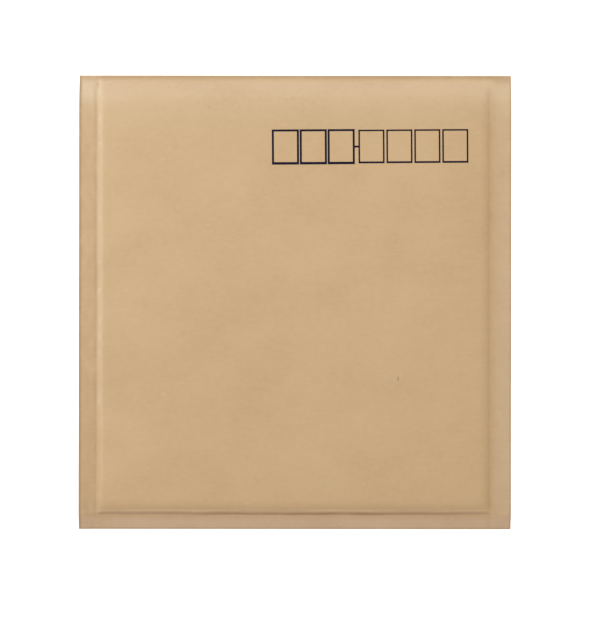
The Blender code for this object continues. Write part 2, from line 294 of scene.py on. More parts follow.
def crumple(x, y, length, seed):
    """Smooth noise over an area, between -1 and 1. Each use has a seed of its own."""
    return noise.noise(Vector((x / length, y / length, 3.7 * seed)))


def photo_place(pixel_x, pixel_y):
    """The place on the envelope that a pixel of the photograph shows."""
    across = (pixel_x - ENVELOPE_CENTRE[0]) * PIXEL
    up = (ENVELOPE_CENTRE[1] - pixel_y) * PIXEL
    return Matrix.Rotation(ENVELOPE_TURN, 2) @ Vector((across, up))


PINCH = photo_place(98.0, 84.0)
CREASE = (photo_place(403.0, 359.0), photo_place(480.0, 332.0))
FIBRE = photo_place(397.8, 378.6)
SPOT = photo_place(469.0, 355.0)


def seam_distances(x, y):
    """Distances inwards from the left, right and bottom seams, which wander a little."""
    left = x - LEFT_SEAM - LEFT_SETBACK - SEAM_WANDER * ripple(y, SIDE_WANDER_LENGTH, 1)
    right = RIGHT_SEAM - x - SEAM_WANDER * ripple(y, SIDE_WANDER_LENGTH, 2)
    bottom = y - BOTTOM_SEAM - BOTTOM_SEAM_WANDER * ripple(x, BOTTOM_WANDER_LENGTH, 3)
    return left, right, bottom


def fullness(x, y):
    """How much of the padding's height the paper has: 0 at the seams and the fold, 1 inside."""
    left, right, bottom = seam_distances(x, y)
    from_left = rise(eased(left, LEFT_TOE), LEFT_SHOULDER)
    from_right = rise(eased(right, RIGHT_TOE), SIDE_SHOULDER)
    return from_left * from_right * rise(bottom, BOTTOM_SHOULDER) * fold_rise(y)


def hang(y):
    """How far the sealed layers are below their level beside the padding."""
    past_bottom_seam = max((BOTTOM_SEAM - y) / BOTTOM_SEAL, 0.0)
    return FOLD_DROP * (1.0 - fold_rise(y)) + BOTTOM_DROOP * past_bottom_seam


def along_slit(left, right):
    """Strength of the slit over the bottom seam: open between the side seams, and closing on
    the margins."""
    opened = sum(share * ramp(left, *step) for share, *step in SLIT_OPENS)
    closed = sum(share * ramp(right, *step) for share, *step in SLIT_CLOSES)
    return opened * closed


def slit_gape(left, right):
    """How far the slit gapes: wide over the middle, and tighter towards both side seams."""
    from_left = LEFT_TIGHTNESS + (1.0 - LEFT_TIGHTNESS) * ramp(left, *LEFT_GAPE)
    from_right = RIGHT_TIGHTNESS + (1.0 - RIGHT_TIGHTNESS) * ramp(right, *RIGHT_GAPE)
    return from_left * from_right


def seal_shift(x, y):
    """How far all the sealed layers are off their level: the margins' waves and the grooves
    pressed along the seams."""
    left, right, bottom = seam_distances(x, y)
    past_left = s_curve(-left / LEFT_SEAL)
    past_right = s_curve(-right / RIGHT_SEAL)
    past_bottom = s_curve(-bottom / BOTTOM_SEAL)
    wave = MARGIN_WAVE * (
        past_left * ripple(y, MARGIN_WAVE_LENGTH, 4)
        + past_right * ripple(y, 1.5 * MARGIN_WAVE_LENGTH, 5)
        + past_bottom * ripple(x, 2.0 * MARGIN_WAVE_LENGTH, 6)
    )
    wave += LEFT_MARGIN_CURL * past_left * s_curve((CURL_START - y) / CURL_LENGTH)
    groove = LEFT_GROOVE_DEPTH * hump(left + LEFT_GROOVE_WIDTH, LEFT_GROOVE_WIDTH)
    slit = hump(bottom - SLIT_PLACE, BOTTOM_GROOVE_WIDTH) * slit_gape(left, right)
    groove += BOTTOM_GROOVE_DEPTH * slit * along_slit(left, right)
    return (wave - groove) * fold_rise(y)


def seam_relief(x, y):
    """The lip above the bottom seam, the puckers beside all three seams, and a pinch."""
    left, right, bottom = seam_distances(x, y)
    inside_corners = s_curve(left / LIP_END_LENGTH) * s_curve(right / LIP_END_LENGTH)
    lip = LIP_SHARE + sum(share * ripple(x, length, seed) for share, length, seed in LIP_CHANGES)
    lip *= LIP_HEIGHT * hump(bottom - LIP_PLACE, LIP_WIDTH) * inside_corners
    beside_left = math.exp(-abs(left) / PUCKER_REACH)
    beside_right = math.exp(-abs(right) / PUCKER_REACH)
    beside_bottom = math.exp(-abs(bottom) / PUCKER_REACH) * s_curve(bottom / BOTTOM_PUCKER_START)
    puckers = PUCKER_HEIGHT * (
        beside_left * crumple(PUCKER_STRETCH * x, y, PUCKER_LENGTH, 8)
        + beside_right * crumple(PUCKER_STRETCH * x, y, PUCKER_LENGTH, 9)
        + beside_bottom * crumple(x, PUCKER_STRETCH * y, 1.6 * PUCKER_LENGTH, 10)
    )
    offset = Vector((x, y)) - PINCH
    pinch = PINCH_DEPTH * hump(offset.x, PINCH_SIZE[0]) * hump(offset.y, PINCH_SIZE[1])
    return (lip + puckers) * fold_rise(y) - pinch


def bubble_rows():
    """(y, [x, ...]) for each row of the lining's bubbles."""

    def spread(low, high, pitch):
        count = int((high - low) / pitch) + 1
        start = (low + high - (count - 1) * pitch) / 2
        return [start + i * pitch for i in range(count)]

    radius = BUBBLE_DIAMETER / 2
    low_x = LEFT_SEAM + SIDE_SHOULDER + radius
    high_x = RIGHT_SEAM - SIDE_SHOULDER - radius
    long_row = spread(low_x, high_x, BUBBLE_PITCH)
    short_row = [x + BUBBLE_PITCH / 2 for x in long_row[:-1]]
    low_y = BOTTOM_SEAM + BOTTOM_SHOULDER + radius
    high_y = FOLD_CENTRE - TOP_SLOPE - radius
    places = spread(low_y, high_y, BUBBLE_PITCH * math.sqrt(3) / 2)
    return [(y, short_row if number % 2 else long_row) for number, y in enumerate(places)]


BUBBLE_ROWS = bubble_rows()
ROW_PITCH = BUBBLE_ROWS[1][0] - BUBBLE_ROWS[0][0]


def bubble_relief(x, y):
    """How far the paper sags between the bubbles that hold it up."""
    nearest = BUBBLE_PITCH
    row = round((y - BUBBLE_ROWS[0][0]) / ROW_PITCH)
    for number in range(max(row - 1, 0), min(row + 2, len(BUBBLE_ROWS))):
        row_y, places = BUBBLE_ROWS[number]
        column = min(max(round((x - places[0]) / BUBBLE_PITCH), 0), len(places) - 1)
        nearest = min(nearest, math.hypot(x - places[column], y - row_y))
    return -BUBBLE_RELIEF * s_curve((nearest - 0.2 * BUBBLE_PITCH) / (0.4 * BUBBLE_PITCH))


def crease_relief(x, y):
    """A faint crease that runs up to the right, low on the right half of the padding."""
    start, end = CREASE
    along = (end - start).normalized()
    offset = Vector((x, y)) - start
    distance = offset.x * along.y - offset.y * along.x
    share = offset.dot(along) / (end - start).length
    ends = s_curve(share * 4.0) * s_curve((1.0 - share) * 4.0)
    return CREASE_HEIGHT * hump(distance, CREASE_BREADTH) * ends


def padding_relief(x, y):
    """Slow swells and the bubbles' faint marks on the padded face."""
    swells = SWELL * crumple(x, y, SWELL_LENGTH, 125)
    return swells + bubble_relief(x, y) + crease_relief(x, y)


def front_point(x, along):
    """Inner face of the front sheet. along runs up the address side, round the fold and down the
    flap, and is y on the address side."""
    turn = math.pi * FOLD_RADIUS
    if along <= FOLD_CENTRE:
        y = along
        low = FRONT_SEAL_LEVEL - hang(y) + seal_shift(x, y)
        full = fullness(x, y)
        z = low + (FRONT_PAD_LEVEL - low) * full + seam_relief(x, y) + full * padding_relief(x, y)
        return Vector((x, y, z))
    if along <= FOLD_CENTRE + turn:
        angle = math.pi / 2 - (along - FOLD_CENTRE) / FOLD_RADIUS
        y = FOLD_CENTRE + FOLD_RADIUS * math.cos(angle)
        return Vector((x, y, FOLD_LEVEL + FOLD_RADIUS * math.sin(angle)))
    y = FOLD_CENTRE - (along - FOLD_CENTRE - turn)
    fold_end = FOLD_LEVEL - FOLD_RADIUS
    return Vector((x, y, fold_end + (PAPER - fold_end) * fold_rise(y)))


def back_point(x, y):
    """Inner face of the back sheet, which lies on the flap's layers and past them on the floor."""
    on_flap = s_curve((y - FLAP_EDGE + FLAP_STEP) / FLAP_STEP)
    pad_level = PAPER + FLAP_STACK * on_flap
    high = BACK_SEAL_LEVEL - hang(y) + seal_shift(x, y)
    return Vector((x, y, high + (pad_level - high) * fullness(x, y)))


def stretch(start, end, step):
    """Evenly spaced places from start to just before end."""
    count = max(round(abs(end - start) / step), 1)
    return [start + (end - start) * i / count for i in range(count)]


def across_places(inset, middle_step):
    """Places across the sheets, close together at the edges and the side seams."""
    return [
        *stretch(LEFT + inset, LEFT + inset + 2 * FINE, FINE),
        *stretch(LEFT + inset + 2 * FINE, LEFT_SEAM - BESIDE_SEAM, MEDIUM),
        *stretch(LEFT_SEAM - BESIDE_SEAM, LEFT_SEAM + BESIDE_SEAM, FINE),
        *stretch(LEFT_SEAM + BESIDE_SEAM, LEFT_SEAM + SIDE_SHOULDER, MEDIUM),
        *stretch(LEFT_SEAM + SIDE_SHOULDER, RIGHT_SEAM - SIDE_SHOULDER, middle_step),
        *stretch(RIGHT_SEAM - SIDE_SHOULDER, RIGHT_SEAM - BESIDE_SEAM, MEDIUM),
        *stretch(RIGHT_SEAM - BESIDE_SEAM, RIGHT_SEAM + BESIDE_SEAM, FINE),
        *stretch(RIGHT_SEAM + BESIDE_SEAM, RIGHT - inset - 2 * FINE, MEDIUM),
        *stretch(RIGHT - inset - 2 * FINE, RIGHT - inset, FINE),
        RIGHT - inset,
    ]


def upward_places(inset, middle_step, top):
    """Places along the sheets from the bottom edge to top, close together at the bottom seam."""
    return [
        *stretch(BOTTOM + inset, BOTTOM + inset + 2 * FINE, FINE),
        *stretch(BOTTOM + inset + 2 * FINE, BOTTOM_SEAM - BELOW_SEAM, MEDIUM),
        *stretch(BOTTOM_SEAM - BELOW_SEAM, BOTTOM_SEAM + ABOVE_SEAM, 0.75 * FINE),
        *stretch(BOTTOM_SEAM + ABOVE_SEAM, BOTTOM_SEAM + BOTTOM_SHOULDER, MEDIUM),
        *stretch(BOTTOM_SEAM + BOTTOM_SHOULDER, FOLD_CENTRE - TOP_SLOPE, middle_step),
        *stretch(FOLD_CENTRE - TOP_SLOPE, top, MEDIUM),
        top,
    ]


def flat_grid(columns, rows):
    """A flat grid of faces with its lines at the given places."""
    bm = bmesh.new()
    bmesh.ops.create_grid(bm, x_segments=len(columns) - 1, y_segments=len(rows) - 1, size=1.0)
    for vertex in bm.verts:
        column = round((vertex.co.x + 1.0) / 2.0 * (len(columns) - 1))
        row = round((vertex.co.y + 1.0) / 2.0 * (len(rows) - 1))
        vertex.co = (columns[column], rows[row], 0.0)
    return bm


def bend(bm, point):
    """Takes each vertex of a flat grid to its place in space, and shades the sheet smooth."""
    for vertex in bm.verts:
        vertex.co = point(vertex.co.x, vertex.co.y)
    for face in bm.faces:
        face.smooth = True
    for edge in bm.edges:
        edge.smooth = not edge.is_boundary


def new_piece(name, bm, slot, replaced, *materials):
    """Adds a mesh to the scene in the place of a CAD node."""
    mesh = bpy.data.meshes.new(name)
    bm.to_mesh(mesh)
    bm.free()
    for material in materials:
        mesh.materials.append(material)
    piece = bpy.data.objects.new(name, mesh)
    bpy.context.scene.collection.objects.link(piece)
    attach(piece, "root")
    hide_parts(replaced)
    return piece


def thicken(piece, thickness, side):
    """Gives a sheet its thickness, up its normals for side 1 and down them for side -1."""
    solidify = piece.modifiers.new("thickness", "SOLIDIFY")
    solidify.thickness = thickness
    solidify.offset = side
    return solidify


def grown(rectangle, margin):
    """A rectangle with a margin added on each side."""
    low_x, high_x, low_y, high_y = rectangle
    return low_x - margin, high_x + margin, low_y - margin, high_y + margin


def printed_rectangles():
    """(outer, inner) for each printed box, and (outer, None) for the dash.

    A rectangle is (low x, high x, low y, high y) from the middle of the print, before its tilt.
    """
    heavy = (*HEAVY_BOX, HEAVY_LINE, HEAVY_BOTTOM_LINE)
    light = (*LIGHT_BOX, LIGHT_LINE, LIGHT_BOTTOM_LINE)
    dash = (DASH_LENGTH, DASH_LINE, 0.0, 0.0)
    shapes = [(heavy, HEAVY_GAP)] * (HEAVY_BOXES - 1) + [(heavy, 0.0), (dash, 0.0)]
    shapes += [(light, LIGHT_GAP)] * (LIGHT_BOXES - 1) + [(light, 0.0)]
    length = sum(shape[0] + gap for shape, gap in shapes)
    rectangles = []
    low_x = -length / 2
    for (width, height, line, bottom_line), gap in shapes:
        high_x, low_y, high_y = low_x + width, -height / 2, height / 2
        outer = grown((low_x, high_x, low_y, high_y), INK_SPREAD)
        hollow = (low_x + line, high_x - line, low_y + bottom_line, high_y - line)
        inner = grown(hollow, -INK_SPREAD) if line else None
        rectangles.append((outer, inner))
        low_x = high_x + gap
    return rectangles


def inside(point, rectangle, margin=0.0):
    """Whether a point is in a rectangle, or no further than a margin outside it."""
    low_x, high_x, low_y, high_y = rectangle
    return low_x - margin < point.x < high_x + margin and low_y - margin < point.y < high_y + margin


def cut_rectangle(bm, place, rectangle):
    """Cuts a rectangle's sides into the faces round it, and returns the faces inside it."""
    to_print = place.inverted()
    low_x, high_x, low_y, high_y = rectangle
    lines = (
        ((low_x, 0, 0), (1, 0, 0)),
        ((high_x, 0, 0), (1, 0, 0)),
        ((0, low_y, 0), (0, 1, 0)),
        ((0, high_y, 0), (0, 1, 0)),
    )
    faces = [f for f in bm.faces if inside(to_print @ f.calc_center_median(), rectangle, COARSE)]
    for point, normal in lines:
        edges = {edge for face in faces for edge in face.edges}
        corners = {corner for face in faces for corner in face.verts}
        cut = bmesh.ops.bisect_plane(
            bm,
            geom=[*faces, *edges, *corners],
            dist=CUT_TOLERANCE,
            plane_co=place @ Vector(point),
            plane_no=place.to_3x3() @ Vector(normal),
        )
        faces = [part for part in cut["geom"] if isinstance(part, bmesh.types.BMFace)]
    return [f for f in faces if inside(to_print @ f.calc_center_median(), rectangle)]


def add_print(bm, ink_slot, paper_slot):
    """Cuts the postcode boxes into the flat sheet and gives their lines the ink's slot."""
    for face in bm.faces:
        face.material_index = paper_slot
    rectangles = printed_rectangles()
    half_length = rectangles[-1][0][1] - INK_SPREAD
    x = RIGHT - PRINT_FROM_RIGHT - half_length
    y = TOP - PRINT_FROM_FOLD - HEAVY_BOX[1] / 2
    place = Matrix.Translation((x, y, 0.0)) @ Matrix.Rotation(PRINT_TILT, 4, "Z")
    for outer, inner in rectangles:
        for face in cut_rectangle(bm, place, outer):
            face.material_index = ink_slot
        for face in cut_rectangle(bm, place, inner) if inner else ():
            face.material_index = paper_slot


def pale_and_sheen_tone(left, right, bottom, from_fold):
    """How pale the paper is: a painted sheen along the fold, and paler paper over the bottom seam
    and on the sealed margins.
    """
    past_bottom = ramp(-bottom, *PAST_BOTTOM)
    past_left = ramp(-left, *PAST_LEFT) * (1.0 - past_bottom)
    past_right = ramp(-right, *PAST_RIGHT)
    # The paleness along the fold is a painted sheen.
    near_fold = ramp(from_fold, *OFF_FOLD) * (1.0 - ramp(from_fold, *GLOW_END))
    left_pale = past_left * (0.15 + 0.55 * ramp(-bottom, *LOW_PALE))
    right_pale = past_right * (0.36 + 0.36 * s_curve(-right / RIGHT_SEAL))
    over_bottom = 0.4 * ramp(-bottom, *OVER_BOTTOM)
    return max(0.9 * near_fold, 0.9 * past_bottom, left_pale, right_pale, over_bottom)


def highlight_tone(x, y, left, right, from_fold):
    """How much painted highlight the paper has: a painted sheen below the fold and on the margins
    near it, painted light on the right margin, and painted highlights where a seam's shoulder
    catches the light.
    """
    past_right = ramp(-right, *PAST_RIGHT)
    off_fold = ramp(from_fold, *OFF_FOLD)
    near_fold = off_fold * (1.0 - ramp(from_fold, *GLOW_END))
    margin_near_fold = off_fold * (1.0 - ramp(from_fold, *MARGIN_GLOW_END))
    towards_left = 1.0 - ramp(x - LEFT, *TOWARDS_LEFT_END)
    painted_highlight = near_fold * (0.12 + 0.22 * towards_left)
    painted_highlight += (1.0 - 0.7 * towards_left) * band(from_fold, *FOLD_GLOW)
    painted_highlight += margin_near_fold * (0.5 * ramp(-left, *MARGIN_GLOW_LEFT) + 0.2 * past_right)
    painted_highlight += 0.08 * past_right
    seam_light = ramp(y, *SEAM_LIGHT_HEIGHTS)
    painted_highlight += seam_light * band(left, *LEFT_LIGHT)
    painted_highlight += band(right, *RIGHT_LIGHT) * (1.0 - ramp(from_fold, *RIGHT_LIGHT_END))
    # Painted highlights in beads along the left seam.
    light_beads = max(ripple(y, BEAD_LENGTH, 12) - 0.1, 0.0) * band(left, *LIGHT_BEADS)
    painted_highlight += (0.5 + 1.2 * seam_light) * light_beads * ramp(from_fold, *BEADS_BELOW_FOLD)
    return painted_highlight


def edge_and_fold_shade(x, y, left, right, from_fold):
    """Painted shade along the cut edges, where they bend down, and on the turn of the fold."""
    from_outline = min(RIGHT - x, y - BOTTOM)
    edges = 0.85 * (1.0 - ramp(from_outline, *CUT_EDGE_END))
    edges = max(edges, 0.9 * (1.0 - ramp(x - LEFT, *LEFT_EDGE_END)))
    past_right = ramp(-right, *PAST_RIGHT)
    fold_edge = 0.87 - 0.62 * ramp(-left, *FOLD_EDGE_LEFT) - 0.15 * past_right
    width = FOLD_EDGE_WIDTH + FOLD_EDGE_WIDER_AT_RIGHT * past_right
    fold_edge *= 1.0 - s_curve(from_fold / width)
    return max(edges, fold_edge)


def slit_shade(x, left, right, bottom):
    """Painted shade in the slit over the bottom seam, with the soft shade on both its sides."""
    slit = slit_gape(left, right) * band(bottom, *SLIT_CORE)
    slit += band(bottom, *(SLIT_BELOW if bottom < SLIT_PLACE else SLIT_ABOVE))
    strength = 0.7 + 0.4 * ripple(x, SLIT_CHANGE_LENGTH, 16) + band(left, *SLIT_LEFT_END)
    return slit * strength * along_slit(left, right)


def shade_and_mottle_tone(x, y, left, right, bottom, from_fold):
    """How much painted shade the paper has: at its edges and the fold, beside the seams, in the
    slit and the pinch, and on the margins under a random mottle.
    """
    past_bottom = ramp(-bottom, *PAST_BOTTOM)
    past_left = ramp(-left, *PAST_LEFT) * (1.0 - past_bottom)
    past_right = ramp(-right, *PAST_RIGHT)
    # The margins are darkened by painted shade beside the raised padding, with a random mottle over
    # it.
    mottle = 0.22 * past_left * (0.7 + crumple(1.5 * x, 0.6 * y, LEFT_MOTTLE_LENGTH, 13))
    mottle += (0.12 * past_right + 0.05 * past_bottom) * (0.5 + crumple(x, y, MOTTLE_LENGTH, 14))
    shade = band(left, *LEFT_SHADE) * ramp(from_fold, *BELOW_FOLD) * (1.0 - past_bottom)
    shade += band(bottom, *BOTTOM_SHADE)
    shade += (1.0 - ramp(y, *SEAM_LIGHT_HEIGHTS)) * band(left, *LOW_LEFT_SHADE)
    shade += band(right, *LOW_RIGHT_SHADE) * (1.0 - ramp(bottom, *LOW_SHADE_END))
    # Painted shade in spots along the right seam's crease.
    seam_shade_spots = max(ripple(y, SPOT_LENGTH, 15) - 0.2, 0.0) * band(right, *RIGHT_SHADE_SPOTS)
    # Painted shade in the pinch.
    offset = Vector((x, y)) - PINCH
    pinch = 0.6 * hump(offset.x, PINCH_SHADE[0]) * hump(offset.y, PINCH_SHADE[1])
    # Painted shade along the cut edges and the turn of the fold.
    edges = edge_and_fold_shade(x, y, left, right, from_fold)
    return edges + mottle + shade + seam_shade_spots + slit_shade(x, left, right, bottom) + pinch


def tones(x, y):
    """How pale, how brightened by painted highlights and how darkened by painted shade the paper is
    at a place, each from 0 to 1; the paleness is partly a painted sheen.
    """
    left, right, bottom = seam_distances(x, y)
    from_fold = TOP - y
    pale_and_sheen = pale_and_sheen_tone(left, right, bottom, from_fold)
    painted_highlight = highlight_tone(x, y, left, right, from_fold)
    shade_and_mottle = shade_and_mottle_tone(x, y, left, right, bottom, from_fold)
    return tuple(min(max(tone, 0.0), 1.0) for tone in (pale_and_sheen, painted_highlight, shade_and_mottle))


def mark_tones(bm, point):
    """Marks a flat sheet's vertices with the tones of their places once it's bent."""
    layers = [bm.verts.layers.float.new(name) for name in ("pale_and_sheen", "painted_highlight", "shade_and_mottle")]
    for vertex in bm.verts:
        place = point(vertex.co.x, vertex.co.y)
        for layer, tone in zip(layers, tones(place.x, place.y)):
            vertex[layer] = tone


def build_front_paper(kraft, ink):
    """The address side, the fold and the flap in one sheet, with the print in its outer face."""
    turn = math.pi * FOLD_RADIUS
    flap_end = FOLD_CENTRE + turn + FOLD_CENTRE - FLAP_EDGE
    rows = upward_places(0.0, COARSE, FOLD_CENTRE)
    rows += stretch(FOLD_CENTRE, FOLD_CENTRE + turn, turn / FOLD_STEPS)[1:]
    rows += stretch(FOLD_CENTRE + turn, FOLD_CENTRE + turn + TOP_SLOPE, MEDIUM)
    rows += [*stretch(FOLD_CENTRE + turn + TOP_SLOPE, flap_end, 2 * COARSE), flap_end]
    bm = flat_grid(across_places(0.0, COARSE), rows)
    # The slots are the ink, the bare outside and the bare inside. The inner face's slots are one
    # higher, so the print stays on the outside.
    add_print(bm, ink_slot=0, paper_slot=1)
    mark_tones(bm, front_point)
    bend(bm, front_point)
    piece = new_piece("front_paper", bm, "kraft_paper", "front_sheet", ink, kraft, kraft)
    thicken(piece, PAPER, 1).material_offset = 1


def build_back_paper(kraft):
    """The shorter sheet behind, from the bottom edge up to the mouth."""
    bm = flat_grid(across_places(0.0, COARSE), upward_places(0.0, COARSE, MOUTH))
    mark_tones(bm, back_point)
    bend(bm, back_point)
    piece = new_piece("back_paper", bm, "kraft_paper", "back_sheet", kraft)
    thicken(piece, PAPER, -1)


def dome_mesh():
    """A bubble one metre high, with its own breadth, a steep wall and a flattened crown."""
    bm = bmesh.new()
    bmesh.ops.create_uvsphere(bm, u_segments=DOME_SIDES, v_segments=DOME_RINGS, radius=1.0)
    low = [vertex for vertex in bm.verts if vertex.co.z < -0.01]
    bmesh.ops.delete(bm, geom=low, context="VERTS")
    for vertex in bm.verts:
        reach = math.hypot(vertex.co.x, vertex.co.y)
        across = BUBBLE_DIAMETER / 2 * reach ** DOME_STEEPNESS / max(reach, 1e-6)
        up = math.sqrt(max(vertex.co.z, 0.0))
        vertex.co = (vertex.co.x * across, vertex.co.y * across, up)
    for face in bm.faces:
        face.smooth = True
    mesh = bpy.data.meshes.new("dome")
    bm.to_mesh(mesh)
    bm.free()
    return mesh


def build_lining(name, replaced, film_bottom, side, film):
    """A flat film with domes on the side of its paper, lower where the paper comes down."""
    columns = across_places(FILM_INSET, LINING_STEP)
    rows = upward_places(FILM_INSET, LINING_STEP, MOUTH - FILM_INSET)
    bm = flat_grid(columns, rows)
    bend(bm, lambda x, y: Vector((x, y, film_bottom - hang(y) + seal_shift(x, y))))
    sheet = new_piece(name, bm, "bubble_film", replaced, film)
    thicken(sheet, FILM, 1)
    domes = bmesh.new()
    dome = dome_mesh()
    reach = BUBBLE_DIAMETER / 2
    turned = Matrix.Rotation(0.0 if side > 0 else math.pi, 4, "X")
    base = film_bottom + (FILM if side > 0 else 0.0)
    for y, places in BUBBLE_ROWS:
        for x in places:
            sides = ((x - reach, y), (x + reach, y), (x, y - reach), (x, y + reach))
            full = min(fullness(*place) for place in sides)
            height = (BUBBLE_HEIGHT - BUBBLE_CLEARANCE) * full
            placed = dome.copy()
            placed.transform(
                Matrix.Translation((x, y, base)) @ turned @ Matrix.Diagonal((1, 1, height, 1))
            )
            domes.from_mesh(placed)
            bpy.data.meshes.remove(placed)
    bpy.data.meshes.remove(dome)
    new_piece(name + "_bubbles", domes, "bubble_film", replaced, film)


def build_floor():
    """The floor that the envelope lies on."""
    bm = bmesh.new()
    bmesh.ops.create_grid(bm, x_segments=1, y_segments=1, size=FLOOR_SIZE)
    mesh = bpy.data.meshes.new("floor")
    bm.to_mesh(mesh)
    bm.free()
    floor = bpy.data.objects.new("floor", mesh)
    floor.location.z = -FLOOR_GAP
    bpy.context.scene.collection.objects.link(floor)
    mesh.materials.append(floor_material())


def new_tree(name):
    """A new material, with its node tree and its shader."""
    material = bpy.data.materials.new(name)
    material.use_nodes = True
    return material, material.node_tree, material.node_tree.nodes["Principled BSDF"]


def add_node(tree, kind, inputs=None, **settings):
    """Adds a node. Each input is a value or the socket that it comes from."""
    node = tree.nodes.new(kind)
    for setting, value in settings.items():
        setattr(node, setting, value)
    for socket, value in (inputs or {}).items():
        if isinstance(value, bpy.types.NodeSocket):
            tree.links.new(value, node.inputs[socket])
        else:
            node.inputs[socket].default_value = value
    return node


def noise_value(tree, vector, scale, detail=2.0, roughness=0.5):
    """A noise texture's value. scale is in features a metre."""
    inputs = {"Vector": vector, "Scale": scale, "Detail": detail, "Roughness": roughness}
    return add_node(tree, "ShaderNodeTexNoise", inputs).outputs["Fac"]


def remap(tree, value, low, high, new_low, new_high):
    """A value taken from the range low to high into the new range."""
    inputs = {"Value": value, "From Min": low, "From Max": high}
    inputs.update({"To Min": new_low, "To Max": new_high})
    return add_node(tree, "ShaderNodeMapRange", inputs).outputs["Result"]


def calculate(tree, operation, first, second):
    return add_node(tree, "ShaderNodeMath", {0: first, 1: second}, operation=operation).outputs[0]


def mix_colours(tree, factor, first, second, blend="MIX"):
    mix = add_node(tree, "ShaderNodeMix", data_type="RGBA", blend_type=blend)
    for socket, value in ((0, factor), (6, first), (7, second)):
        if isinstance(value, bpy.types.NodeSocket):
            tree.links.new(value, mix.inputs[socket])
        else:
            mix.inputs[socket].default_value = value
    return mix.outputs[2]


def add_bump(tree, shader, height, strength, distance):
    inputs = {"Height": height, "Strength": strength, "Distance": distance}
    bump = add_node(tree, "ShaderNodeBump", inputs)
    tree.links.new(bump.outputs["Normal"], shader.inputs["Normal"])


def stretched(tree, vector, x, y, z):
    """A place with its parts scaled along each axis."""
    return add_node(tree, "ShaderNodeMapping", {"Vector": vector, "Scale": (x, y, z)}).outputs[0]


# Colours of the paper with its tones, and of the print. The pale colour gives a painted sheen and
# paler sealed paper, the bright one painted highlights and glints, and the dark one painted shade,
# darker pulp and paper through the ink.
KRAFT = (0.588, 0.388, 0.192, 1.0)
KRAFT_DARK = (0.430, 0.262, 0.115, 1.0)
KRAFT_LIGHT = (0.650, 0.446, 0.242, 1.0)
KRAFT_PALE_AND_SHEEN = (0.597, 0.411, 0.247, 1.0)
KRAFT_HIGHLIGHT = (0.675, 0.520, 0.325, 1.0)
FLECK = (0.215, 0.130, 0.070, 1.0)
INK = (0.010, 0.010, 0.027, 1.0)

WHITE = (1.0, 1.0, 1.0, 1.0)

# Light from all around, in strength and colour, and the glow that whitens the floor in view
WORLD_STRENGTH = 0.67
WORLD_COLOUR = (1.0, 0.962, 0.953, 1.0)
FLOOR_GLOW = 0.85

# Soft lamps, as (name, place, size, watts, colour)
LAMPS = (
    ("upper_left", (-0.30, 0.42, 0.62), 0.25, 1.50, (0.84, 0.92, 1.0)),
    ("left", (-0.75, 0.12, 0.30), 0.35, 1.98, (0.88, 0.95, 1.0)),
    ("upper_right", (0.45, 0.60, 0.45), 0.35, 1.38, (0.95, 1.0, 0.87)),
)


def marked(tree, name):
    """A tone that mark_tones gave to the mesh."""
    return add_node(tree, "ShaderNodeAttribute", attribute_name=name).outputs["Fac"]


def fleck_share(tree, place, centre, half_width, half_length, strength):
    """How much of a fleck at centre shows, from strength in its middle to nothing round it."""
    scale = (1.0 / half_width, 1.0 / half_length, 0.0)
    shift = (-centre.x * scale[0], -centre.y * scale[1], 0.0)
    offset = add_node(
        tree, "ShaderNodeMapping", {"Vector": place, "Location": shift, "Scale": scale}
    ).outputs[0]
    distance = add_node(tree, "ShaderNodeVectorMath", {0: offset}, operation="LENGTH")
    return remap(tree, distance.outputs["Value"], 0.4, 1.2, strength, 0.0)


def scattered(tree, vector, scale):
    """Distance to the nearest of many scattered points. scale is in points a metre."""
    inputs = {"Vector": vector, "Scale": scale, "Randomness": 1.0}
    return add_node(tree, "ShaderNodeTexVoronoi", inputs).outputs["Distance"]


